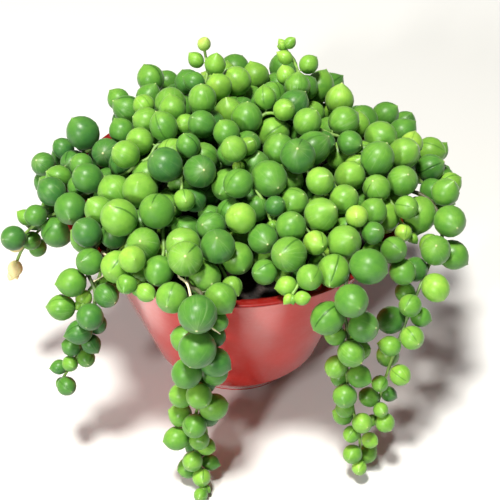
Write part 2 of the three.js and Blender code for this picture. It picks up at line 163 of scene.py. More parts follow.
# Tubes: rings of a given radius round each point of a path and square to it, and a pole at
# both ends. paths is a table of tube by point. The side direction turns with the path and
# never spins round it.
def tubeShapes(paths, radii, sides):
    tangents = unit(np.gradient(paths, axis=1))
    side = unit(np.cross(tangents[:, 0], growth["stemAside"]))
    carried = []
    for k in range(paths.shape[1]):
        tangent = tangents[:, k]
        side = unit(side - tangent * np.sum(side * tangent, -1, keepdims=True))
        carried.append(side)
    across = np.stack(carried, 1)
    other = np.cross(tangents, across)
    c, s = [part[:, None] for part in circle(sides)]
    ring = across[:, :, None] * c + other[:, :, None] * s
    rings = paths[:, :, None] + radii[:, :, None, None] * ring
    return np.concatenate([paths[:, :1], rings.reshape(len(paths), -1, 3), paths[:, -1:]], 1)


# Faces for a tube with that many rings, mapped evenly round and along it.
def tubeFaces(rings, sides):
    return ringFaces(sides, np.linspace(0, 1, rings + 2))


# Sets each named or numbered input of a node to a value, or links it to an output.
def feed(node, inputs):
    for key, value in inputs.items():
        target = node.inputs[key]
        if isinstance(value, bpy.types.NodeSocket):
            node.id_data.links.new(value, target)
        else:
            target.default_value = (*value, 1) if target.type == "RGBA" else value
    return node


# A node with its settings, on the tree of the first output that feeds it.
def addNode(kind, inputs, **settings):
    outputs = [value for value in inputs.values() if isinstance(value, bpy.types.NodeSocket)]
    node = outputs[0].id_data.nodes.new(kind)
    for name, value in settings.items():
        setattr(node, name, value)
    return feed(node, inputs)


# One step of arithmetic between numbers or outputs, and the common ones by name.
def maths(operation, first, second=0.0, clamp=False):
    inputs = {0: first, 1: second}
    return addNode("ShaderNodeMath", inputs, operation=operation, use_clamp=clamp).outputs[0]


def plus(first, second, clamp=False):
    return maths("ADD", first, second, clamp)


def minus(first, second):
    return maths("SUBTRACT", first, second)


def times(first, second):
    return maths("MULTIPLY", first, second)


# The share of the way of a value from low to high, between 0 and 1, straight or eased.
def shareOf(value, low, high, way="LINEAR"):
    inputs = {"Value": value, "From Min": low, "From Max": high}
    return addNode("ShaderNodeMapRange", inputs, interpolation_type=way, clamp=True).outputs["Result"]


def easedMask(value, low, high):
    return shareOf(value, low, high, "SMOOTHSTEP")


# A colour laid over another by a mask and a share, with the named blend.
def laid(base, mask, colour, share=1.0, blend="MIX"):
    inputs = {0: times(mask, share), 6: base, 7: colour}
    return addNode("ShaderNodeMix", inputs, data_type="RGBA", blend_type=blend).outputs[2]


# Colours at places between 0 and 1, joined evenly.
def colourRamp(value, stops):
    node = addNode("ShaderNodeValToRGB", {"Fac": value})
    elements = node.color_ramp.elements
    for element, (position, colour) in zip(elements, (stops[0], stops[-1])):
        element.position = position
        element.color = (*colour, 1)
    for position, colour in stops[1:-1]:
        elements.new(position).color = (*colour, 1)
    return node.outputs["Color"]


# A value that the mesh holds at its points.
def attribute(tree, name):
    node = tree.nodes.new("ShaderNodeAttribute")
    node.attribute_name = name
    return node.outputs["Fac"]


# A node group with named inputs and one output, made once and used by many materials. An
# input without a default is a vector.
def newGroup(name, inputs, output, kind="NodeSocketFloat"):
    group = bpy.data.node_groups.new(name, "ShaderNodeTree")
    for label, value in inputs.items():
        number = value is not None
        inputKind = "NodeSocketFloat" if number else "NodeSocketVector"
        socket = group.interface.new_socket(label, in_out="INPUT", socket_type=inputKind)
        if number:
            socket.default_value = value
    group.interface.new_socket(output, in_out="OUTPUT", socket_type=kind)
    return group, group.nodes.new("NodeGroupInput").outputs, group.nodes.new("NodeGroupOutput")


# A group placed in a material with its own values.
def groupNode(group, **inputs):
    return addNode("ShaderNodeGroup", inputs, node_tree=group).outputs[0]


# Cloudy patches: noise in object space, stretched from a low to a high level.
def makeMottle():
    group, given, result = newGroup(
        "mottle", {"Vector": None, "Scale": 400.0, "Low": 0.35, "High": 0.65}, "Mask")
    noise = addNode("ShaderNodeTexNoise", {"Vector": given["Vector"], "Scale": given["Scale"],
                                           "Detail": 4.0, "Roughness": 0.6})
    feed(result, {"Mask": shareOf(noise.outputs["Fac"], given["Low"], given["High"])})
    return group


# Fine relief: noise in object space as a bump, on top of a height that is given.
def makeGrain():
    group, given, result = newGroup(
        "fineGrain",
        {"Vector": None, "Scale": 2000.0, "Depth": 0.1, "Height": 0.0, "Distance": 0.0002},
        "Normal", "NodeSocketVector")
    noise = addNode("ShaderNodeTexNoise", {"Vector": given["Vector"], "Scale": given["Scale"],
                                           "Detail": 3.0})
    height = plus(times(noise.outputs["Fac"], given["Depth"]), given["Height"])
    bump = addNode("ShaderNodeBump", {"Strength": 1.0, "Distance": given["Distance"], "Height": height})
    feed(result, {"Normal": bump.outputs["Normal"]})
    return group


# Streaks along a leaf: noise at the cosine and sine of the turn round it, so that they are
# thin and meet at the seam. The seed moves them from leaf to leaf.
def makeStreaks():
    group, given, result = newGroup(
        "leafStreaks",
        {"Around": 0.0, "Along": 0.0, "Seed": 0.0, "Count": 5.0, "Low": 0.5, "High": 0.7}, "Mask")
    seedShift = 97.0
    stretch = 2.2
    turn = times(given["Around"], fullTurn)
    place = addNode("ShaderNodeCombineXYZ", {
        "X": times(maths("COSINE", turn), given["Count"]),
        "Y": times(maths("SINE", turn), given["Count"]),
        "Z": plus(times(given["Along"], stretch), times(given["Seed"], seedShift)),
    })
    noise = addNode("ShaderNodeTexNoise", {"Vector": place.outputs["Vector"], "Scale": 1.0,
                                           "Detail": 2.5, "Roughness": 0.55})
    feed(result, {"Mask": shareOf(noise.outputs["Fac"], given["Low"], given["High"])})
    return group


mottle = makeMottle()
grain = makeGrain()
streaks = makeStreaks()


# A new material, its shader and the object coordinates.
def startMaterial(name):
    material = bpy.data.materials.new(name)
    material.use_nodes = True
    nodes = material.node_tree.nodes
    return material, nodes["Principled BSDF"], nodes.new("ShaderNodeTexCoord").outputs["Object"]


# What every finish gives its shader: colour, roughness, the grain on a height, and the fixed
# values in its dictionary, which have the names of the shader's inputs.
def dress(shader, look, place, base, rough, height=0.0):
    normal = groupNode(grain, Vector=place, Height=height, **look["grain"])
    feed(shader, {"Base Color": base, "Roughness": rough, "Normal": normal, **look["shader"]})


# In each finish, clouds, lines, specks and grain are inputs of the groups above. A colour
# to lay on stands with its share and its blend.
leafFinish = {
    "tones": [
        (0.0, (0.018, 0.080, 0.030)),
        (0.25, (0.036, 0.142, 0.028)),
        (0.5, (0.088, 0.250, 0.028)),
        (0.75, (0.205, 0.420, 0.046)),
        (1.0, (0.420, 0.620, 0.080)),
    ],
    "clouds": {"Scale": 330.0, "Low": 0.3, "High": 0.7},
    "cloudTone": 0.14,
    "litTone": 0.14,             # painted light and shade: how much the tone rises towards the side of a leaf that faces the light, and falls on the other side
    "lineEnds": (0.15, 0.6),     # the lines fade out at both ends of a leaf
    "paleLines": {"Count": 7.0, "Low": 0.56, "High": 0.80},
    "pale": ((0.46, 0.60, 0.30), 0.40),
    "deepLines": {"Count": 3.2, "Low": 0.52, "High": 0.75},
    "deep": ((0.55, 0.66, 0.50), 0.45, "MULTIPLY"),
    "slitFrom": (0.22, 0.36),    # along the leaf
    "slitTo": (0.80, 0.86),
    "windowWidth": (0.02, 0.07),
    "window": ((0.70, 0.82, 0.66), 0.5, "MULTIPLY"),
    "slitWidth": (0.005, 0.014),
    "slit": ((0.24, 0.36, 0.26), 0.9, "MULTIPLY"),
    "slitDepth": -0.35,
    "specks": {"Scale": 2400.0, "Low": 0.70, "High": 0.78},
    "speck": ((0.46, 0.60, 0.30), 0.4),
    "dry": (0.78, 0.64, 0.33),
    "tip": (0.60, 0.60, 0.32),
    "tipFrom": (0.875, 0.93),
    "haloFrom": (0.74, 0.86),    # a faint ring round the tip
    "haloShare": 0.12,
    "tipShares": (0.15, 0.75),   # of every leaf, and more on a leaf with lines
    "roughness": 0.33,
    "cloudRoughness": 0.10,
    "dryRoughness": 0.3,
    "grain": {"Scale": 1300.0, "Depth": 0.16, "Distance": 0.00018},
    "shader": {
        "Subsurface Weight": 0.20,
        "Subsurface Radius": (0.0016, 0.0030, 0.0007),   # metres that each colour of light travels
        "Subsurface Scale": 1.0,
        "Sheen Weight": 0.08,    # waxy bloom
        "Sheen Roughness": 0.45,
        "Sheen Tint": (0.85, 1.0, 0.75),
        "IOR": 1.38,
    },
}


# Waxy leaf: a tone ramp by the leaf's own value, raised on the side of each leaf towards
# the light and lowered on the other as painted light and shade, mottled, with paler and
# deeper streaks, a dark slit down the side at the middle of the map, and a cream tip. The
# slit's distance is the turn away from that side times the sine of the way along the leaf.
def makeLeafMaterial():
    look = leafFinish
    material, shader, place = startMaterial("waxyLeaf")
    tree = material.node_tree
    onMap = tree.nodes.new("ShaderNodeUVMap")
    onMap.uv_map = "pieceMap"
    parts = addNode("ShaderNodeSeparateXYZ", {0: onMap.outputs["UV"]}).outputs
    around, along = parts["X"], parts["Y"]
    names = ("tone", "dryness", "slit", "lines", "lit")
    own, dryness, slit, lines, lit = [attribute(tree, name) for name in names]
    clouds = groupNode(mottle, Vector=place, **look["clouds"])
    # painted light and shade: each leaf's tone rises on its side towards the light and falls on the
    # other
    tone = plus(own, times(lit, look["litTone"]))
    tone = plus(tone, times(minus(clouds, 0.5), look["cloudTone"]), True)
    base = colourRamp(tone, look["tones"])
    wide = maths("SINE", times(along, math.pi))
    fade = times(easedMask(wide, *look["lineEnds"]), lines)
    for kind, shift in (("pale", 0.0), ("deep", 3.0)):
        given = {"Around": around, "Along": along, "Seed": plus(own, shift), **look[kind + "Lines"]}
        base = laid(base, times(groupNode(streaks, **given), fade), *look[kind])
    aside = times(maths("ABSOLUTE", minus(around, 0.5)), wide)
    reach = times(easedMask(along, *look["slitFrom"]), minus(1.0, easedMask(along, *look["slitTo"])))
    shown = times(reach, slit)
    for kind in ("window", "slit"):
        mark = times(shown, minus(1.0, easedMask(aside, *look[kind + "Width"])))
        base = laid(base, mark, *look[kind])
    base = laid(base, groupNode(mottle, Vector=place, **look["specks"]), *look["speck"])
    base = laid(base, dryness, look["dry"])
    halo = times(easedMask(along, *look["haloFrom"]), look["haloShare"])
    tip = plus(easedMask(along, *look["tipFrom"]), halo, True)
    always, withLines = look["tipShares"]
    base = laid(base, times(tip, plus(times(lines, withLines), always)), look["tip"])
    rough = plus(times(clouds, look["cloudRoughness"]), look["roughness"])
    rough = plus(rough, times(dryness, look["dryRoughness"]))
    dress(shader, look, place, base, rough, times(mark, look["slitDepth"]))    # the slit's mark
    return material


stemFinish = {
    "ages": [
        (0.0, (0.240, 0.420, 0.080)),
        (0.35, (0.130, 0.230, 0.060)),
        (0.7, (0.085, 0.090, 0.040)),
        (1.0, (0.090, 0.055, 0.035)),
    ],
    "clouds": {"Scale": 500.0, "Low": 0.3, "High": 0.7},
    "cloudAge": 0.3,
    "scars": {"Scale": 1400.0, "Low": 0.6, "High": 0.72},
    "scar": ((0.30, 0.24, 0.14), 0.45),
    "roughness": 0.5,
    "scarRoughness": 0.2,
    "grain": {"Scale": 2500.0, "Depth": 0.35, "Distance": 0.00015},
    "shader": {"Subsurface Weight": 0.08, "Subsurface Radius": (0.0006, 0.0009, 0.0003),
               "Subsurface Scale": 1.0},
}


# Stem and stalks: green at the young end, brown at the root, with pale scars.
def makeStemMaterial():
    look = stemFinish
    material, shader, place = startMaterial("greenStem")
    clouds = groupNode(mottle, Vector=place, **look["clouds"])
    age = plus(attribute(material.node_tree, "tone"), times(minus(clouds, 0.5), look["cloudAge"]), True)
    scars = groupNode(mottle, Vector=place, **look["scars"])
    base = laid(colourRamp(age, look["ages"]), scars, *look["scar"])
    dress(shader, look, place, base, plus(times(scars, look["scarRoughness"]), look["roughness"]))
    return material


leafMaterial = makeLeafMaterial()
stemMaterial = makeStemMaterial()
print("leaf and stem finishes made")

potShape = {
    "lipThickness": 1.0,
    "lipTopWidth": 2.2,
    "lipRound": 0.3,
    "neckRadius": 45.0,          # outside of the wall just under the lip
    "neckDrop": 2.6,
    "chamferRadius": 26.8,
    "chamferHeight": 9.9,
    "footRadius": 19.1,
    "footStep": 1.4,
    "wall": 1.0,
    "base": 1.2,
    "cornerRound": 0.9,
    "cornerSteps": 5,
    "sides": 144,
    "drainHoles": 4,
    "drainRadius": 2.6,
    "drainCircle": 11.5,
    "drainSides": 24,
    "drillHeights": (-3, 0, 4),
}
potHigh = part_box("pot")[1]
potHeight = potHigh.z / toMetres
rimRadius = potHigh.x / toMetres


# Corner points of the wall's section, from the foot's centre out, up, over the lip and in.
# The small offsets shape the step of the foot, the lip's lower side and the inner wall.
def potCorners():
    s = potShape
    foot, chamfer, neck, wall, base = [
        s[key] for key in ("footRadius", "chamferRadius", "neckRadius", "wall", "base")]
    rim, top = rimRadius, potHeight
    under = top - s["lipThickness"]
    inner = rim - s["lipTopWidth"]
    return np.array([
        (0, 0),
        (foot, 0),
        (foot + 0.3, s["footStep"]),
        (foot + 1.2, s["footStep"] + 0.5),
        (chamfer, s["chamferHeight"]),
        (neck, top - s["neckDrop"]),
        (inner, under - 0.5),
        (rim - s["lipRound"], under),
        (rim, top - s["lipThickness"] / 2),
        (rim - s["lipRound"], top),
        (inner, top),
        (inner - 1.4, top - 0.8),
        (neck - wall, top - s["neckDrop"] - 0.6),
        (chamfer - wall, s["chamferHeight"] + 0.5),
        (foot - 0.4, base + 1.6),
        (foot - 1.4, base),
        (0, base),
    ], float)


# The parabola that a start, a corner and an end span: (1-t)^2, 2t(1-t) and t^2 of them.
def parabola(start, corner, end, steps):
    t = np.linspace(0, 1, steps)[:, None]
    return (1 - t) ** 2 * start[:, None] + 2 * t * (1 - t) * corner[:, None] + t ** 2 * end[:, None]


# Each inner corner of an outline is swapped for a short parabola that starts and ends at
# most a given length, and a third of the side, from the corner.
def roundCorners(corners, reach, steps):
    corner = corners[1:-1]
    ends = []
    for beside in (corners[:-2], corners[2:]):
        cut = np.minimum(reach, np.linalg.norm(beside - corner, axis=1) / 3)[:, None]
        ends.append(corner + unit(beside - corner) * cut)
    curve = parabola(ends[0], corner, ends[1], steps)
    return np.concatenate([corners[:1], curve.reshape(-1, 2), corners[-1:]])


# A turned body: each outline point (radius, height) becomes a ring, and the first and last,
# which lie on the axis, become the poles.
def turned(outline, sides):
    c, s = circle(sides)
    radius, height = outline[1:-1, 0][:, None], outline[1:-1, 1][:, None]
    rings = np.stack([radius * c, radius * s, height + 0 * c], -1)
    poles = np.array([[0, 0, outline[0, 1]], [0, 0, outline[-1, 1]]])
    return np.concatenate([poles[:1], rings.reshape(-1, 3), poles[1:]])[None]


potFinish = {
    "colour": (0.540, 0.012, 0.008),
    "clouds": {"Scale": 38.0, "Low": 0.35, "High": 0.65},
    "thin": ((0.640, 0.024, 0.018), 0.6),    # where the wall lets more light through
    # painted shade: the colour laid on the lip is a darker red
    "lip": (0.200, 0.005, 0.004),
    "lipBelow": (3.4, 2.2),                  # millimetres under the top
    "dust": (0.62, 0.36, 0.32),
    "dusty": {"Scale": 900.0, "Low": 0.45, "High": 0.75},
    "dustHeights": (0.002, 0.022),           # metres over which it thins out
    "dustShares": (0.05, 0.16),              # everywhere, and more low down
    "smears": {"Scale": 120.0, "Low": 0.3, "High": 0.7},
    "roughness": 0.37,
    "smearRoughness": 0.10,
    "grain": {"Scale": 300.0, "Depth": 0.25, "Distance": 0.00012},
    "coat": 1.0,
    "lipCoatLoss": 0.85,
    "shader": {"Coat Roughness": 0.02, "Specular IOR Level": 0.25, "Subsurface Weight": 0.35,
               "Subsurface Radius": (0.004, 0.0008, 0.0006), "Subsurface Scale": 1.0},
}


# Thin red plastic: two reds in cloudy patches, a darker red on the lip as painted shade,
# faint dust low on the wall and a smooth coat over all but the lip.
def makePotMaterial():
    look = potFinish
    material, shader, place = startMaterial("redPlastic")
    height = addNode("ShaderNodeSeparateXYZ", {0: place}).outputs["Z"]
    base = laid(look["colour"], groupNode(mottle, Vector=place, **look["clouds"]), *look["thin"])
    onLip = easedMask(height, *[(potHeight - below) * toMetres for below in look["lipBelow"]])
    # painted shade: the top few millimetres are laid in a darker red
    base = laid(base, onLip, look["lip"])
    lowDown = minus(1.0, easedMask(height, *look["dustHeights"]))
    everywhere, more = look["dustShares"]
    dust = plus(times(lowDown, more), everywhere)
    base = laid(base, times(groupNode(mottle, Vector=place, **look["dusty"]), dust), look["dust"])
    smears = groupNode(mottle, Vector=place, **look["smears"])
    dress(shader, look, place, base, plus(times(smears, look["smearRoughness"]), look["roughness"]))
    feed(shader, {"Coat Weight": minus(look["coat"], times(onLip, look["lipCoatLoss"]))})
    return material


# The drain holes are drilled through the base with one cutter, and the result is kept.
def drillBase(pot):
    p = potShape
    c, s = circle(p["drainHoles"], 0.5)
    centres = p["drainCircle"] * np.stack([c, s, 0 * c], -1)
    paths = centres[:, None] + np.array([(0, 0, height) for height in p["drillHeights"]])
    shapes = tubeShapes(paths, np.full(paths.shape[:2], p["drainRadius"]), p["drainSides"])
    patch = patchOf(shapes, tubeFaces(len(p["drillHeights"]), p["drainSides"]))
    drill = makePiece("drill", [patch], [], "pot")
    cut = pot.modifiers.new("drain", "BOOLEAN")
    cut.operation = "DIFFERENCE"
    cut.solver = "EXACT"
    cut.object = drill
    bpy.context.view_layer.update()
    finished = bpy.data.meshes.new_from_object(pot.evaluated_get(bpy.context.evaluated_depsgraph_get()))
    pot.modifiers.clear()
    spare = [pot.data, drill.data]
    pot.data = finished
    bpy.data.objects.remove(drill)
    for mesh in spare:
        bpy.data.meshes.remove(mesh)


# The turned wall with its rounded corners, drilled.
def makePot():
    s = potShape
    outline = roundCorners(potCorners(), s["cornerRound"], s["cornerSteps"])
    faces = ringFaces(s["sides"], np.linspace(0, 1, len(outline)))
    wall = patchOf(turned(outline, s["sides"]), faces)
    drillBase(makePiece("pot_shell", [wall], [makePotMaterial()], "pot"))


soilShape = {
    "top": 59.4,
    "bump": 0.45,
    "fall": 0.0006,              # per square millimetre from the middle
    "gap": 0.9,
    "edge": 1.4,
    "clearance": 0.3,
    "rings": 46,
    "sides": 150,
    "smoothEdge": 1.5,           # the fine waves end this far from the wall
    "crumbs": 520,
    "crumbSize": (0.35, 1.0),
    "crumbStretch": (1.0, 0.9, 0.8),
    "chips": 34,
    "chipSize": (1.4, 2.4),
    "chipStretch": (1.0, 0.55, 0.28),
    "lumpSides": 6,
    "lumpLift": 0.15,
    "lumpRings": ((0, -0.5), (0.5, 0.5)),    # turn and height of each
    "lumpWidth": 0.86,           # of a ring
    "lumpRough": (0.72, 1.12),
    "lumpLean": 0.35,
    "lumpMargin": 2.5,           # from the wall
    "bedTone": 0.25,
    "crumbTone": 0.7,            # the most
}


# Height of the soil: a slight fall from the middle, crossed waves, and finer ones on top.
def soilHeight(x, y, fine=1.0):
    s = soilShape
    waves = np.sin(0.55 * x + 1.3) * np.cos(0.47 * y) + 0.6 * np.sin(0.31 * x - 0.83 * y)
    crumbs = np.sin(2.3 * x + 0.7 * np.sin(1.9 * y)) * np.cos(2.1 * y - 0.4 * x)
    grit = np.sin(5.1 * x - 2.2 * y) * np.sin(4.7 * y + 1.9 * x)
    height = s["top"] + s["bump"] * waves / 1.6 - s["fall"] * (x * x + y * y)
    return height + fine * (0.28 * crumbs + 0.14 * grit)


# Lumps with a few sides: a ball of two rings whose points are pushed in or out at random
# and stretched along three directions.
def lumpShapes(places, sizes, stretch, random):
    look = soilShape
    count = len(places)
    angles = fullTurn * np.arange(look["lumpSides"]) / look["lumpSides"]
    rings = [np.stack([np.cos(angles + turn), np.sin(angles + turn), 0 * angles + height], -1)
             * (look["lumpWidth"], look["lumpWidth"], 1) for turn, height in look["lumpRings"]]
    ball = np.concatenate([[(0, 0, -1)], *rings, [(0, 0, 1)]])
    rough = ball * random.uniform(*look["lumpRough"], (count, len(ball), 1)) * stretch[:, None]
    turn = random.uniform(0, fullTurn, count)
    lean = random.normal(0, look["lumpLean"], (count, 2))
    c, s = np.cos(turn)[:, None], np.sin(turn)[:, None]
    x = rough[..., 0] * c - rough[..., 1] * s
    y = rough[..., 0] * s + rough[..., 1] * c
    z = rough[..., 2] + x * lean[:, :1] + y * lean[:, 1:]
    return places[:, None] + sizes[:, None, None] * np.stack([x, y, z], -1)


soilFinish = {
    "ground": (0.0035, 0.0026, 0.0022),
    "clouds": {"Scale": 260.0, "Low": 0.4, "High": 0.7},
    "patch": ((0.030, 0.016, 0.011), 1.0),
    "fibres": {"Scale": 1100.0, "Low": 0.58, "High": 0.75},
    "fibre": (0.090, 0.052, 0.036),
    "roughness": 0.9,
    "cloudRoughness": -0.25,
    "grain": {"Scale": 900.0, "Depth": 1.0, "Distance": 0.0004},
    "shader": {},
}


# Dry or crumbly matter: one colour with patches of another, and paler fibres, if it has
# them, as far as its tone lets them show.
def makeMottled(name, look):
    material, shader, place = startMaterial(name)
    clouds = groupNode(mottle, Vector=place, **look["clouds"])
    base = laid(look["ground"], clouds, *look["patch"])
    if "fibres" in look:
        fibres = groupNode(mottle, Vector=place, **look["fibres"])
        base = laid(base, times(fibres, attribute(material.node_tree, "tone")), look["fibre"])
    dress(shader, look, place, base, plus(times(clouds, look["cloudRoughness"]), look["roughness"]))
    return material


# The plug that fills the pot, with its top as a height over a disc, and loose crumbs and
# bark chips pressed into it.
def makeSoil():
    s = soilShape
    p = potShape
    random = np.random.default_rng(31)
    inside = p["wall"] + s["gap"]
    wide = p["neckRadius"] - inside
    bottom = p["base"] + s["clearance"]
    ring = wide * (1 - np.arange(s["rings"]) / s["rings"])
    outline = np.array(
        [(0, bottom), (p["footRadius"] - 2.2, bottom),
         (p["chamferRadius"] - inside, p["chamferHeight"] + 0.7), (wide, s["top"] - s["edge"])]
        + [(r, s["top"]) for r in ring] + [(0, s["top"])])
    body = turned(outline, s["sides"])
    onTop = body[..., 2] > s["top"] - 0.1
    x, y = body[..., 0], body[..., 1]
    fine = 1 - ease(np.hypot(x, y), wide - s["smoothEdge"], wide)
    body[..., 2] = np.where(onTop, soilHeight(x, y, fine), body[..., 2])
    faces = ringFaces(s["sides"], np.linspace(0, 1, len(outline)))
    count = s["crumbs"] + s["chips"]
    angle = random.uniform(0, fullTurn, count)
    far = (wide - s["lumpMargin"]) * np.sqrt(random.uniform(0, 1, count))
    x, y = far * np.cos(angle), far * np.sin(angle)
    isChip = np.arange(count) >= s["crumbs"]
    chipSize, crumbSize = [random.uniform(*s[key], count) for key in ("chipSize", "crumbSize")]
    size = np.where(isChip, chipSize, crumbSize)
    stretch = np.where(isChip[:, None], s["chipStretch"], s["crumbStretch"])
    places = np.column_stack([x, y, soilHeight(x, y) + s["lumpLift"] * size])
    lumps = lumpShapes(places, size, stretch, random)
    tone = np.where(isChip, 1.0, random.uniform(0, s["crumbTone"], count))
    patches = [patchOf(body, faces, tone=s["bedTone"]),
               patchOf(lumps, tubeFaces(len(s["lumpRings"]), s["lumpSides"]), tone=tone)]
    makePiece("soil_bed", patches, [makeMottled("darkSoil", soilFinish)], "soil")


# The growing plan, the same as in the solids.
growth = {
    "seed": 7,
    "rootDepth": 6.5,
    "step": 4.0,                 # from one joint of a stem to the next
    "leafStep": 4.3,
    "leafTurn": 2.4,
    "leafTurnSpread": 0.6,
    "leafLean": 0.35,
    "leafLight": (0.0, -0.45, 0.30),
    "stemAside": (0.31, 0.23, 0.92),
    "bareLength": 13.0,
    "leafRadius": 4.35,
    "leafLeast": 0.82,
    "leafSpread": 0.28,
    "budShare": 0.42,
    "growthPower": 0.8,
    "stalk": 1.1,
    "chords": 200,               # over which a stem's length is measured
}
crown = {
    "base": 61.0, "height": 26.0, "fall": 1.8,
    "left": 57.0, "right": 62.0, "front": 50.0, "back": 55.0,
    "taper": 11.0,
    "rootShare": 0.82,
    "rootLimit": 0.62,
    "breakDepth": 5.0,
    "sway": 0.25,
    "swayPhase": 1.9,
    "joints": 3,
    "rings": [
        {"letter": "a", "count": 3, "turn": 40, "from": 0.06, "to": 0.30},
        {"letter": "b", "count": 8, "turn": 10, "from": 0.26, "to": 0.62},
    ],
    "ringSpread": 0.3,
    "outerFrom": 0.56,
    "outer": [
        (-124, 0.93), (-96, 0.92), (-76, 0.86), (-60, 0.86), (-38, 0.92), (-20, 0.9),
        (0, 1.0), (17, 1.1), (35, 1.0), (54, 0.95), (77, 1.03), (94, 0.97),
        (110, 0.92), (135, 0.86), (165, 1.0), (191, 1.09), (220, 1.08),
    ],
}
# Stems that trail over the rim or stand out of the crown: leaf size, the length over which
# the leaves shrink, how far apart they sit, how much they lean to the light, the root's x
# and y, and the joints after it.
trails = {
    "trail_left": (0.92, 45, 1.1, 2, (-29, 2), [
        (-37, 4, 69), (-45, 2, 69), (-51, 1, 62), (-55, -2, 56), (-63, -6, 48), (-66, -9, 42)]),
    "trail_left_front": (0.98, 50, 1.45, 2.5, (-25, -15), [
        (-33, -24, 69), (-38, -34, 68), (-39, -41, 59), (-40, -41, 50), (-42, -40, 42),
        (-46, -40, 35), (-50, -41, 28)]),
    "trail_front": (1.16, 80, 1.05, 2, (-11, -25), [
        (-12, -34, 68), (-12, -48, 69), (-8, -54, 61), (-10, -54, 48), (-11, -54, 40),
        (-11, -54, 30), (-13, -54, 20), (-12, -54, 12), (-11, -54, 5.5), (-10, -60, 3.6)]),
    "trail_right_front": (1.0, 60, 1.4, 2.5, (22, -18), [
        (25, -28, 69), (28, -39, 71), (28, -45, 68), (29, -48, 57), (30, -48, 50), (30, -48, 41),
        (31, -49, 31), (33, -50, 22), (35, -51, 13), (35, -53, 5)]),
    "trail_right": (1.08, 70, 1.25, 1.5, (33, -7), [
        (42, -9, 71), (54, -14, 71), (58, -20, 64), (53, -30, 59), (48, -38, 51), (44, -43, 40),
        (41, -46, 29), (39, -49, 20)]),
    "spill_left": (1.11, 18, 1, 1, (-18, -22), [(-23, -29, 70), (-30, -34, 71), (-27, -46, 68)]),
    "spill_right": (1.05, 18, 1, 1, (13, -24), [(15, -30, 69), (18, -39, 71), (15, -49, 68)]),
    "sprout_left": (0.92, 18, 1, 1, (-11, 8), [(-10, 15, 80), (-8, 24, 88), (-9, 30, 94)]),
    "sprout_right": (0.88, 20, 1, 1, (12, 13), [(15, 20, 79), (19, 28, 86), (15, 31, 93)]),
    "trail_back": (1.0, 60, 1.3, -1, (12, 34), [
        (15, 42, 72), (18, 52, 68), (19, 57, 56), (19, 57, 44), (18, 57, 32), (19, 58, 20)]),
    "trail_back_left": (0.95, 50, 1.3, -1, (-20, 30), [
        (-23, 40, 72), (-26, 50, 68), (-28, 54, 56), (-28, 54, 44), (-27, 55, 34)]),
}
dryStems = {
    "dry_stem_long": ((-16, -33), [(-17, -41, 69), (-15, -50, 70), (-10, -56, 66), (-4, -58, 61)]),
    "dry_stem_left": ((-32, -19), [(-34, -27, 66), (-36, -36, 66.8), (-40, -41, 63)]),
}

makePot()
print("pot turned and drilled")
makeSoil()
print("soil laid")


# A repeatable stream of numbers between 0 and 1: each state is the last one times 48271,
# less whole multiples of 2^31 - 1.
def numberStream(state):
    modulus = 2147483647
    while True:
        state = state * 48271 % modulus
        yield state / modulus


# How far a place lies from the crown's middle, as a share of the way to its edge, which is
# made of four quarters of ellipses.
def crownShare(x, y):
    across = x / (crown["left"] if x < 0 else crown["right"])
    along = y / (crown["front"] if y < 0 else crown["back"])
    return math.hypot(across, along)


# A crown stem rises from the soil, breaks through the dome and runs outwards on it. The
# dome falls from its middle with a power of that share.
def crownRoute(degrees, start, end, draw):
    angle = degrees * math.pi / 180
    reach = 1 / crownShare(math.cos(angle), math.sin(angle))
    sway = (draw() - 0.5) * crown["sway"]
    rootFar = min(start * crown["rootShare"], crown["rootLimit"]) * reach
    root = (rootFar * math.cos(angle), rootFar * math.sin(angle))
    route = []
    for i in range(crown["joints"] + 1):
        far = (start + (end - start) * i / crown["joints"]) * reach
        turn = angle + sway * math.sin(i * crown["swayPhase"])
        x = far * math.cos(turn)
        y = far * math.sin(turn)
        dome = crown["base"] + crown["height"] * (1 - crownShare(x, y) ** crown["fall"])
        route.append((x, y, dome - (crown["breakDepth"] if i == 0 else 0)))
    return root, route


# Places on a Catmull-Rom curve through the corners, at shares t of the way in corners. The
# knots lie apart by the corners' distance to a power, and the end corners are mirrored out.
def curveAt(corners, t, power):
    p = np.vstack([2 * corners[0] - corners[1], corners, 2 * corners[-1] - corners[-2]])
    gap = np.sum(np.diff(p, axis=0) ** 2, 1)[:, None] ** (power / 2)
    place = t * (len(corners) - 1)
    k = np.minimum(place.astype(int), len(corners) - 2)
    w = (place - k)[:, None]
    p0, p1, p2, p3 = p[k], p[k + 1], p[k + 2], p[k + 3]
    d0, d1, d2 = gap[k], gap[k + 1], gap[k + 2]
    m1 = ((p1 - p0) / d0 - (p2 - p0) / (d0 + d1) + (p2 - p1) / d1) * d1
    m2 = ((p2 - p1) / d1 - (p3 - p1) / (d1 + d2) + (p3 - p2) / d2) * d1
    cubic = 2 * p1 - 2 * p2 + m1 + m2
    square = -3 * p1 + 3 * p2 - 2 * m1 - m2
    return p1 + m1 * w + square * w ** 2 + cubic * w ** 3


# Joints of a stem: straight up out of the soil, then even steps along a centripetal curve.
def stemJoints(root, route):
    step = growth["step"]
    low = np.array([*root, soilShape["top"] - growth["rootDepth"]], float)
    corners = np.vstack([low + (0, 0, 2 * step), route])
    t = np.linspace(0, 1, growth["chords"] + 1)
    chords = np.linalg.norm(np.diff(curveAt(corners, t, 0.5), axis=0), axis=1)
    length = np.concatenate([[0], np.cumsum(chords)])
    count = int(length[-1] / step + 0.5)
    even = np.interp(np.linspace(0, 1, count + 1) * length[-1], length, t)
    return np.vstack([low, low + (0, 0, step), curveAt(corners, even, 0.5)])


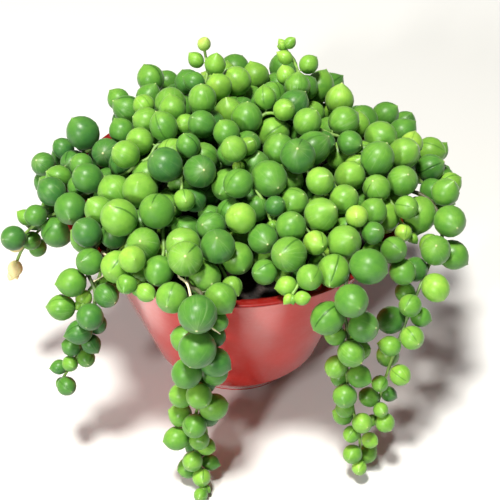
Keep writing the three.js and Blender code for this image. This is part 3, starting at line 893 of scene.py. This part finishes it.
# Leaves take turns round the stem. A leaf has grown to a bud's share of full size, plus the
# rest times its distance from the tip over the taper, to a power.
def leavesOf(joints, size, taper, spacing, lean, draw):
    g = growth
    length = (len(joints) - 1) * g["step"]
    turn = draw() * 2 * math.pi
    s = g["rootDepth"] + g["bareLength"]
    leaves = []
    while s <= length:
        left = max(0.0, length - s)
        grown = g["budShare"] + (1 - g["budShare"]) * min(1.0, left / taper) ** g["growthPower"]
        radius = g["leafRadius"] * size * grown * (g["leafLeast"] + g["leafSpread"] * draw())
        at = min(len(joints) - 1, int(s / g["step"] + 0.5))
        run = unit(joints[min(len(joints) - 1, at + 1)] - joints[at - 1])
        side = unit(np.cross(g["stemAside"], run))
        other = np.cross(run, side)
        out = side * math.cos(turn) + other * math.sin(turn) + run * g["leafLean"]
        out = unit(out + lean * np.array(g["leafLight"]))
        leaves.append((at, radius, joints[at] + out * (radius + g["stalk"]), grown))
        turn += g["leafTurn"] + (draw() - 0.5) * g["leafTurnSpread"]
        s += g["leafStep"] * spacing * (1 + grown) / 2
    return leaves


# The whole plan: a list of stems, each with its joints and leaves.
def growPlant():
    draw = numberStream(growth["seed"]).__next__
    stems = []

    def grow(name, root, route, habit=(1, crown["taper"], 1, 1)):
        joints = stemJoints(root, route)
        leaves = leavesOf(joints, *habit, draw) if habit else []
        stems.append({"name": name, "joints": joints, "leaves": leaves})

    for name, (*habit, root, route) in trails.items():
        grow(name, root, route, habit)
    for ring in crown["rings"]:
        for i in range(ring["count"]):
            degrees = ring["turn"] + 360 * (i + crown["ringSpread"] * (draw() - 0.5)) / ring["count"]
            grow(f"crown_{ring['letter']}{i + 1}", *crownRoute(degrees, ring["from"], ring["to"], draw))
    for i, (degrees, end) in enumerate(crown["outer"]):
        grow(f"crown_c{i + 1}", *crownRoute(degrees, crown["outerFrom"], end, draw))
    for name, (root, route) in dryStems.items():
        grow(name, root, route, None)
    return stems


settling = {
    "rounds": 300,
    "stemBerth": 1.7,
    "leafBerth": 0.3,
    "potBerth": 0.45,
    "soilMargin": 0.6,
    "floorMargin": 0.1,
    "homePull": 0.03,
    "pullFade": 1.5,
    "bendHold": 0.3,
    "overshoot": 1.4,
    "fixedJoints": 3,
    "listEvery": 15,             # rounds between two searches for near pairs
    "listMargin": 5.0,
}


# Pairs of points from two stems, or of two leaves, that lie nearer than their berths and a
# margin.
def nearPairs(place, berth, stem, isLeaf):
    first, second = np.triu_indices(len(place), 1)
    mayMeet = (stem[first] != stem[second]) | (isLeaf[first] & isLeaf[second])
    first, second = first[mayMeet], second[mayMeet]
    far = np.linalg.norm(place[second] - place[first], axis=1)
    near = far < berth[first] + berth[second] + settling["listMargin"]
    return first[near], second[near]


# Pushes off the soil, the pot and the floor, summed, and their number. The nearest place
# on each side of the pot's outline is the foot of the perpendicular, clipped to the side.
def pushFromPot(place, berth):
    s = settling
    corners = potCorners()[2:13]
    start = corners[:-1]
    side = corners[1:] - start
    total = np.zeros_like(place)
    r = np.hypot(place[:, 0], place[:, 1])
    onSoil = soilShape["top"] + s["soilMargin"] + berth
    low = (place[:, 2] < onSoil) & (r < potShape["neckRadius"] - potShape["wall"])
    total[:, 2] += np.where(low, onSoil - place[:, 2], 0)
    spot = np.stack([r, place[:, 2]], -1)[:, None]
    t = np.clip(np.sum((spot - start) * side, -1) / np.sum(side ** 2, -1), 0, 1)[..., None]
    away = spot - (start + t * side)
    far = np.linalg.norm(away, axis=-1)
    best = np.argmin(far, 1)[:, None]
    away = np.take_along_axis(away, best[..., None], 1)[:, 0]
    far = np.take_along_axis(far, best, 1)[:, 0]
    reach = berth + s["potBerth"]
    touching = far < reach
    k = np.where(touching, (reach - far) / np.maximum(far, tiny), 0)
    outward = k * away[:, 0] / np.maximum(r, tiny)
    total[:, :2] += outward[:, None] * place[:, :2]
    total[:, 2] += k * away[:, 1]
    floorBerth = berth + s["floorMargin"]
    under = place[:, 2] < floorBerth
    total[:, 2] += np.where(under, floorBerth - place[:, 2], 0)
    return total, low.astype(int) + touching + under


# In each round every point moves by the mean of its pushes times the overshoot. Links push
# back to their rest length and near pairs apart to the sum of their berths, half at each
# end, and a pull towards the planned place fades while the rounds go on.
def settlePlant(stems):
    s = settling
    counts = [len(stem["joints"]) for stem in stems]
    first = np.cumsum([0] + counts)
    leaves = [(number, leaf) for number, stem in enumerate(stems) for leaf in stem["leaves"]]
    place = np.vstack([stem["joints"] for stem in stems] + [leaf[2] for _, leaf in leaves])
    size = len(place)
    leafBerths = [leaf[1] + s["leafBerth"] for _, leaf in leaves]
    berth = np.append(np.full(first[-1], s["stemBerth"]), leafBerths)
    stemOf = np.append(np.repeat(np.arange(len(stems)), counts), [number for number, _ in leaves])
    isLeaf = np.arange(size) >= first[-1]
    free = isLeaf | (np.arange(size) - first[stemOf] >= s["fixedJoints"])
    links = [(start + i, start + i + apart, hold)
             for start, count in zip(first, counts)
             for apart, hold in ((1, 1.0), (2, s["bendHold"]))
             for i in range(count - apart)]
    links += [(first[-1] + i, first[number] + leaf[0], 1.0) for i, (number, leaf) in enumerate(leaves)]
    *linked, holds = np.array(links).T
    linked = np.array(linked, int)
    rest = np.linalg.norm(place[linked[1]] - place[linked[0]], axis=1)
    home = place.copy()
    for turn in range(s["rounds"]):
        if turn % s["listEvery"] == 0:
            near = nearPairs(place, berth, stemOf, isLeaf)
            pairs = np.hstack([linked, near])
            wanted = np.append(rest, berth[near[0]] + berth[near[1]])
            half = 0.5 * np.append(holds, np.ones(len(near[0])))
            isLink = np.arange(len(wanted)) < len(rest)
        apart = place[pairs[1]] - place[pairs[0]]
        far = np.linalg.norm(apart, axis=1)
        acts = isLink | (far < wanted)
        pushes = (apart * (half * (wanted - far) / np.maximum(far, tiny))[:, None])[acts]
        starts, ends = pairs[:, acts]
        total, number = pushFromPot(place, berth)
        for axis in range(3):
            total[:, axis] += np.bincount(ends, pushes[:, axis], size)
            total[:, axis] -= np.bincount(starts, pushes[:, axis], size)
        number = number + np.bincount(np.append(starts, ends), minlength=size)
        pull = s["homePull"] * max(0.0, 1 - s["pullFade"] * turn / s["rounds"])
        step = total * (s["overshoot"] / np.maximum(1, number))[:, None] + (home - place) * pull
        place = np.where(free[:, None], place + step, place)
    settled = place[first[-1]:]
    for number, stem in enumerate(stems):
        stem["joints"] = place[first[number]:first[number + 1]]
        stem["centres"] = settled[stemOf[first[-1]:] == number]
    return settled


stems = growPlant()
print("plant grown and settled:", len(settlePlant(stems)), "leaves by the rule")

leafShape = {
    "columns": 8,
    "heights": (-1.08, -0.86, -0.24, 0.45, 0.90, 1.03, 1.15),
    "widths": (0.0, 0.71, 1.16, 1.07, 0.61, 0.07, 0.0),
    "pointHeights": (0.0, 0.0, 0.0, 0.02, 0.08, 0.20, 0.27),   # added for a pointed leaf
    "pointWidths": (0.0, -0.06, 0.0, -0.02, -0.14, 0.0, 0.0),
}
fillers = {
    "least": 1.9,                # radius
    "directions": 16,
    "firstJoint": 4,
    "spin": (0.7, 1.3),          # radians for each joint and each millimetre of distance
    "seat": 0.75,                # from a leaf to the axis of its stem
    "stemRoom": 0.8,
    "spare": 0.12,
    "facing": 0.4,               # how much a place towards the front and the light counts
    "light": (0.0, -0.70, 0.71),
    # start of the stem's name, number, largest radius, distances from the stem
    "groups": [
        ("crown", 60, 3.6, (2.9, 3.8, 4.8, 6.0)), ("trail_front", 8, 3.1, (3.0, 3.8)),
        ("trail_right", 14, 3.0, (3.0, 3.6)), ("trail_left", 5, 2.8, (3.0, 3.5)),
    ],
}


# Directions spread evenly over a ball by the golden angle.
def evenDirections(count):
    i = np.arange(count) + 0.5
    z = 1 - 2 * i / count
    turn = i * math.pi * (3 - math.sqrt(5))
    wide = np.sqrt(1 - z * z)
    return np.stack([wide * np.cos(turn), wide * np.sin(turn), z], -1)


# Places round the joints of the stems in a group, at every distance and in even directions,
# with the number of the stem and the joint, and the room that the distance leaves.
def placesRound(stems, start, most, distances):
    f = fillers
    ball = evenDirections(f["directions"])
    perJoint, perDistance = f["spin"]
    found = []
    for number, stem in enumerate(stems):
        if not stem["name"].startswith(start):
            continue
        for at in range(f["firstJoint"], len(stem["joints"])):
            for distance in distances:
                angle = perJoint * at + perDistance * distance
                c, s = math.cos(angle), math.sin(angle)
                spin = ball @ np.array([(c, s, 0), (-s, c, 0), (0, 0, 1)])
                same = np.tile((number, at, min(distance - f["seat"], most)), (len(ball), 1))
                facing = (spin @ np.array(f["light"]))[:, None]
                found.append(np.hstack([stem["joints"][at] + spin * distance, same, facing]))
    found = np.concatenate(found)
    owners, joints, room, facing = found[:, 3:].T
    return found[:, :3], owners.astype(int), joints.astype(int), room, facing


# Smaller leaves for the spaces between the others: of many places round the joints, the
# roomiest is taken each time, with the leaf as large as its room.
def fillGaps(stems):
    f = fillers
    taken = []
    for stem in stems:
        taken += [(centre, leaf[1]) for centre, leaf in zip(stem["centres"], stem["leaves"])]
    for stem in stems:
        taken += [(joint, f["stemRoom"]) for joint in stem["joints"][1:]]
    low = np.array(cadBox[0]) / toMetres + f["least"]
    high = np.array(cadBox[1]) / toMetres - f["least"]
    added = []
    for start, number, most, distances in f["groups"]:
        places, owners, joints, room, facing = placesRound(stems, start, most, distances)
        for point, radius in taken:
            room = np.minimum(room, np.linalg.norm(places - point, axis=1) - radius)
        touching = pushFromPot(places, room)[1] > 0
        room[np.any((places < low) | (places > high), axis=1) | touching] = 0
        for _ in range(number):
            wide = room > f["least"] + f["spare"]
            if not wide.any():
                break
            best = int(np.argmax(np.where(wide, room + f["facing"] * facing, 0)))
            radius = room[best] - f["spare"]
            added.append((owners[best], joints[best], radius, places[best]))
            taken.append((places[best], radius))
            room = np.minimum(room, np.linalg.norm(places - places[best], axis=1) - radius)
    return added


extra = fillGaps(stems)
print("small leaves added between them:", len(extra))


# Shapes of many leaves at once. Each ring lies at its height along the leaf's axis and has
# its width, both times the radius and shifted for a pointed leaf. The slit's side is at the
# middle of the ring.
def leafShapes(centres, radii, axes, slitSides, points, length):
    shape = leafShape
    c, s = circle(shape["columns"], -shape["columns"] / 2)
    heights = np.array(shape["heights"]) + points[:, None] * np.array(shape["pointHeights"])
    widths = np.array(shape["widths"]) + points[:, None] * np.array(shape["pointWidths"])
    across = unit(slitSides - axes * np.sum(slitSides * axes, -1, keepdims=True))
    other = np.cross(axes, across)[:, None, None]
    ring = (across[:, None, None] * c[:, None] + other * s[:, None]) * widths[:, 1:-1, None, None]
    tall = heights[:, :, None, None] * length[:, None, None, None] * axes[:, None, None]
    size = radii[:, None, None, None]
    rings = centres[:, None, None] + size * (ring + tall[:, 1:-1])
    poles = centres[:, None] + size[:, :, 0] * tall[:, [0, -1], 0]
    return np.concatenate([poles[:, :1], rings.reshape(len(centres), -1, 3), poles[:, 1:]], 1)


leafHeights = np.array(leafShape["heights"]) / leafShape["heights"][-1]
leafFaces = ringFaces(leafShape["columns"], np.arccos(-np.clip(leafHeights, -1, 1)) / math.pi)

stemShape = {
    "sides": 6,
    "between": 3,                # rings from joint to joint
    "thick": 0.72,
    "thin": 0.44,
    "knot": 0.16,                # swelling at each leaf
    "knotLength": 0.28,
    "age": (1.15, -1.3),         # at the root, and its change up to the tip
    "stalkSides": 4,
    "stalkRings": 4,
    "stalkThick": 0.50,
    "stalkThin": 0.34,
    "stalkBend": 0.55,
    "stalkSeat": 0.94,           # where a leaf's axis meets its stalk
    "stalkAge": (0.75, -0.8),
    "stalkLeaf": 3.5,            # radius of the leaf that a stalk of full size holds
    "stalkSizes": (0.55, 1.1),   # the least and the most
}
leafLook = {
    "swell": 0.22,               # a leaf is this much larger than its solid, so that it touches
    "lift": 0.28,                # how far a leaf turns its tip upwards
    "spread": 0.10,              # and away from the plant's middle
    "forward": 0.20,             # and along its stem
    "wander": 0.30,              # and at random
    "small": (1.2, 3.4),         # radii between which a leaf is less and less small
    "young": (0.5, 0.95),
    "fillerGrown": 0.75,
    # radius of each bud at a stem's tip, and how far it leans to two sides
    "buds": [(1.15, 0.15, 0.0), (0.95, -0.75, 0.0), (0.8, 0.0, 0.8)],
    "budGap": 0.35,
    "points": (0.9, 3.2),        # beta spread of how pointed the leaves are
    "smallPoint": 0.6,
    "lengthSpread": 0.04,
    "smallLength": 0.10,
    "toneMiddle": 0.39,
    "toneSpread": 0.10,
    "paintedLightByHeight": 0.10,          # painted light and shade: lighter at the top of the crown, darker under the rim
    "toneYouth": 0.20,
    "toneLimits": (0.24, 0.68, 0.94),    # the least, the most, and the most of a young leaf
    # heights over which the painted light and shade by height runs from dark to light
    "heights": (45, 92),
    "slitLean": 0.45,            # of the slits away from the top
    "slitShare": 0.40,
    "slitClear": (0.4, 1),       # strength on that share of the leaves
    "slitFaint": 0.06,
    "lines": (1.2, 2.2),         # beta spread of how clear the lines are
    "light": (-0.50, 0.15, 0.85),        # painted light and shade: the side of each leaf that this way faces is painted lighter, the other side darker
}
# Stems that are lighter or darker than the others.
stemTones = {
    "trail_front": 0.04, "trail_left_front": -0.12, "spill_left": 0.04, "crown_c17": 0.10,
    "crown_c1": 0.04, "trail_left": -0.02, "trail_right": 0.09, "trail_right_front": 0.15,
    "crown_c14": -0.10, "crown_c15": -0.14, "crown_c16": -0.13, "crown_b7": -0.14,
    "crown_b6": -0.14, "crown_b8": -0.14, "crown_b1": -0.05, "crown_c3": 0.02, "crown_c4": 0.05,
    "crown_c5": 0.04, "spill_right": 0.05, "crown_c6": 0.09, "crown_c7": 0.10, "crown_c8": 0.06,
    "crown_c9": 0.04,
}
# Stems that wither, with the dryness of each leaf from the tip on.
dryTips = {"trail_left": (1.0, 1.0, 0.9, 0.9, 0.8), "sprout_left": (0.12,)}
# Stems whose leaves have a longer beak than the others.
stemPoints = {
    "crown_c8": 0.35, "crown_c9": 0.45, "crown_c10": 0.40, "crown_c11": 0.25, "crown_b2": 0.25,
    "crown_b1": 0.20, "crown_c7": 0.20, "sprout_left": 0.25, "sprout_right": 0.20,
    "crown_c14": 0.20,
}


# A smooth path through every joint, on evenly knotted curves.
def smoothPath(joints, between):
    return curveAt(joints, np.linspace(0, 1, (len(joints) - 1) * between + 1), 0)


# Stalks: a bent path from the stem's axis to the base of each leaf, a parabola whose
# middle corner lies on the straight line out of the stem.
def stalkShapes(feet, bases, outs, radii):
    s = stemShape
    reach = np.linalg.norm(bases - feet, axis=1)[:, None]
    paths = parabola(feet, feet + outs * reach * s["stalkBend"], bases, s["stalkRings"])
    t = np.linspace(0, 1, s["stalkRings"])
    thick = s["stalkThin"] + (s["stalkThick"] - s["stalkThin"]) * np.abs(2 * t - 1) ** 2
    size = np.clip(radii / s["stalkLeaf"], *s["stalkSizes"])
    return tubeShapes(paths, size[:, None] * thick, s["stalkSides"])


# The stem's tube through its joints. It thins evenly to the tip and swells at each leaf by
# exp(-d^2), where d is the distance in joints over the knot's length.
def stemPatch(joints, at):
    s = stemShape
    path = smoothPath(joints, s["between"])
    share = np.linspace(0, 1, len(path))
    ringAt = np.arange(len(path)) / s["between"]
    knots = np.exp(-((ringAt - np.unique(at)[:, None]) / s["knotLength"]) ** 2).max(0)
    thick = s["thick"] + (s["thin"] - s["thick"]) * share + s["knot"] * knots
    tube = tubeShapes(path[None], thick[None], s["sides"])
    root, change = s["age"]
    age = np.concatenate([[1], np.repeat(np.clip(root + change * share, 0, 1), s["sides"]), [0]])
    return patchOf(tube, tubeFaces(len(path), s["sides"]), 1, tone=age)


# The leaves of one stem by the rule, the small ones added to it and the buds at its tip:
# joint, radius, centre, direction out of the stem, direction of the tip, and youth.
def leavesOn(number, stem, random):
    look = leafLook
    joints = stem["joints"]
    mine = [item for item in extra if item[0] == number]
    leaves = stem["leaves"]
    at = np.array([leaf[0] for leaf in leaves] + [item[1] for item in mine], int)
    radii = np.array([leaf[1] for leaf in leaves] + [item[2] for item in mine])
    grown = np.array([leaf[3] for leaf in leaves] + [look["fillerGrown"]] * len(mine))
    centres = np.vstack([stem["centres"]] + [item[3] for item in mine])
    run = unit(joints[np.minimum(at + 1, len(joints) - 1)] - joints[at - 1])
    outs = unit(centres - joints[at])
    away = unit(centres * (1, 1, 0) + tiny)
    axes = unit(outs + look["lift"] * np.array([0, 0, 1.0]) + look["spread"] * away
                + look["forward"] * run + look["wander"] * random.normal(0, 1, centres.shape))
    bud = unit(joints[-1] - joints[-2])
    aside = unit(np.cross(bud, growth["stemAside"]))
    size, toSide, toOther = np.array(look["buds"]).T[:, :, None]
    budAxes = unit(bud + toSide * aside + toOther * np.cross(bud, aside))
    return (
        np.append(at, [len(joints) - 1] * len(size)),
        np.append(radii, size),
        np.vstack([centres, joints[-1] + budAxes * (size + look["budGap"])]),
        np.vstack([outs, budAxes]),
        np.vstack([axes, budAxes]),
        np.append(1 - ease(grown, *look["young"]), np.ones(len(size))),
    )


# One leafy stem: the stem's tube, its leaves and their stalks. The tone of a leaf is its
# stem's, with a random part, lighter with youth, and lighter with height as painted light
# and shade.
def makeLeafyStem(number, stem, random):
    s = stemShape
    look = leafLook
    name = stem["name"]
    joints = stem["joints"]
    at, radii, centres, outs, axes, youth = leavesOn(number, stem, random)
    count = len(radii)
    small = 1 - ease(radii, *look["small"])
    points = random.beta(*look["points"], count) + look["smallPoint"] * small + stemPoints.get(name, 0)
    length = 1 + look["lengthSpread"] * random.normal(0, 1, count) + look["smallLength"] * small
    radii = radii + look["swell"]
    slitSides = unit(np.array([0, 0, 1.0]) + look["slitLean"] * random.normal(0, 1, (count, 3)))
    # the height term is painted light and shade: leaves at the crown's top lighter, those under the rim
    # darker
    tone = (look["toneMiddle"] + look["toneSpread"] * random.normal(0, 1, count)
            + look["paintedLightByHeight"] * (2 * ease(centres[:, 2], *look["heights"]) - 1)
            + look["toneYouth"] * youth + stemTones.get(name, 0))
    least, most, mostYoung = look["toneLimits"]
    tone = np.clip(tone, least, most + (mostYoung - most) * youth)
    dryness = np.zeros(count)
    dry = dryTips.get(name, ())
    dryness[np.argsort(-at, kind="stable")[:len(dry)]] = dry
    slit = np.where(random.uniform(0, 1, count) < look["slitShare"],
                    random.uniform(*look["slitClear"], count), look["slitFaint"])
    shapes = leafShapes(centres, radii, axes, slitSides, np.clip(points, 0, 1), length)
    # painted light and shade: how far each point of a leaf lies towards the light, as a share of its
    # radius
    lit = (shapes - centres[:, None]) @ unit(np.array(look["light"])) / radii[:, None]
    leaves = patchOf(shapes, leafFaces, 0, tone=tone, dryness=dryness, slit=slit,
                     lines=random.beta(*look["lines"], count), lit=lit)
    bases = centres - axes * radii[:, None] * s["stalkSeat"] * length[:, None]
    root, change = s["stalkAge"]
    stalks = patchOf(stalkShapes(joints[at], bases, outs, radii),
                     tubeFaces(s["stalkRings"], s["stalkSides"]), 1,
                     tone=np.clip(root + change * at / len(joints), 0.0, 1))
    makePiece(name + "_leaves", [leaves, stemPatch(joints, at), stalks],
              [leafMaterial, stemMaterial], name, 1)


random = np.random.default_rng(11)
for number, stem in enumerate(stems):
    if stem["leaves"]:
        makeLeafyStem(number, stem, random)
print("leafy stems made")

strawFinish = {
    "ground": (0.80, 0.70, 0.46),
    "clouds": {"Scale": 480.0, "Low": 0.55, "High": 0.75},
    "patch": ((0.42, 0.29, 0.15), 0.7),
    "roughness": 0.6,
    "cloudRoughness": 0.2,
    "grain": {"Scale": 1800.0, "Depth": 0.6, "Distance": 0.0002},
    "shader": {},
}
strawShape = {
    "radius": 0.36,
    "sides": 8,
    "between": 5,
    "pinch": 0.25,
    "pinchTurn": 2.6,            # radians from joint to joint
    "thinEnd": 2.5,              # joints over which the end gets thin
    "thinShare": 0.45,
}


# A dry stem's tube, thin at its end and pinched by the eighth power of a cosine where its
# leaves once sat.
def makeDryStem(stem, material):
    s = strawShape
    path = smoothPath(stem["joints"], s["between"])
    place = np.arange(len(path)) / s["between"]
    thick = s["radius"] * (1 - s["pinch"] * np.cos(place * s["pinchTurn"]) ** 8)
    thick = thick * (1 - s["thinShare"] * ease(place, place[-1] - s["thinEnd"], place[-1]))
    straw = patchOf(tubeShapes(path[None], thick[None], s["sides"]), tubeFaces(len(path), s["sides"]))
    makePiece(stem["name"] + "_straw", [straw], [material], stem["name"])


strawMaterial = makeMottled("dryStraw", strawFinish)
for stem in stems:
    if not stem["leaves"]:
        makeDryStem(stem, strawMaterial)
print("dry stems made")

studio = {
    "eye": (0.0, -302.0, 292.4),
    "aim": (4.2, 5.7, 36.5),
    "lens": 93.17,               # millimetres, on the sensor
    "sensor": 36,
    "floorSize": 12.0,           # metres
    "floorColour": (0.74, 0.74, 0.73),
    "floorRoughness": 0.7,
    "skyColour": (1.0, 1.0, 1.0),
    "skyStrength": 0.13,
    # name, place in metres, watts, size in metres, colour
    "lights": [
        ("keyLight", (-0.14, -0.26, 1.05), 17.4, 0.18, (1.0, 0.98, 0.92)),
        ("sideLight", (-0.50, -0.90, 0.55), 8.5, 0.12, (1.0, 0.99, 0.96)),
    ],
}


# A new object in the scene.
def addObject(name, data):
    thing = bpy.data.objects.new(name, data)
    bpy.context.scene.collection.objects.link(thing)
    return thing


# Puts an object at a place and turns its -Z axis to a target.
def lookAt(thing, place, target):
    thing.location = place
    thing.rotation_euler = (Vector(target) - Vector(place)).to_track_quat("-Z", "Y").to_euler()


# A plain floor, two soft lights, an even sky and the camera at the photograph's angle.
def makeStudio():
    s = studio
    size = s["floorSize"] / 2
    mesh = bpy.data.meshes.new("floor")
    mesh.from_pydata([(-size, -size, 0), (size, -size, 0), (size, size, 0), (-size, size, 0)], [],
                     [(0, 1, 2, 3)])
    floor = addObject("floor", mesh)
    material, shader, _ = startMaterial("paleFloor")
    feed(shader, {"Base Color": s["floorColour"], "Roughness": s["floorRoughness"]})
    mesh.materials.append(material)
    aim = [value * toMetres for value in s["aim"]]
    for name, place, power, wide, colour in s["lights"]:
        light = bpy.data.lights.new(name, "AREA")
        light.energy = power
        light.shape = "DISK"
        light.size = wide
        light.color = colour
        lookAt(addObject(name, light), place, aim)
    world = bpy.data.worlds.new("softSky")
    world.use_nodes = True
    feed(world.node_tree.nodes["Background"], {"Color": s["skyColour"], "Strength": s["skyStrength"]})
    bpy.context.scene.world = world
    camera = addObject("camera", bpy.data.cameras.new("camera"))
    camera.data.lens = s["lens"]
    camera.data.sensor_width = s["sensor"]
    camera.data.clip_start = 0.01
    lookAt(camera, [value * toMetres for value in s["eye"]], aim)
    bpy.context.scene.camera = camera
    bpy.context.scene.view_settings.view_transform = "Standard"


makeStudio()
print("floor, lights and camera set")
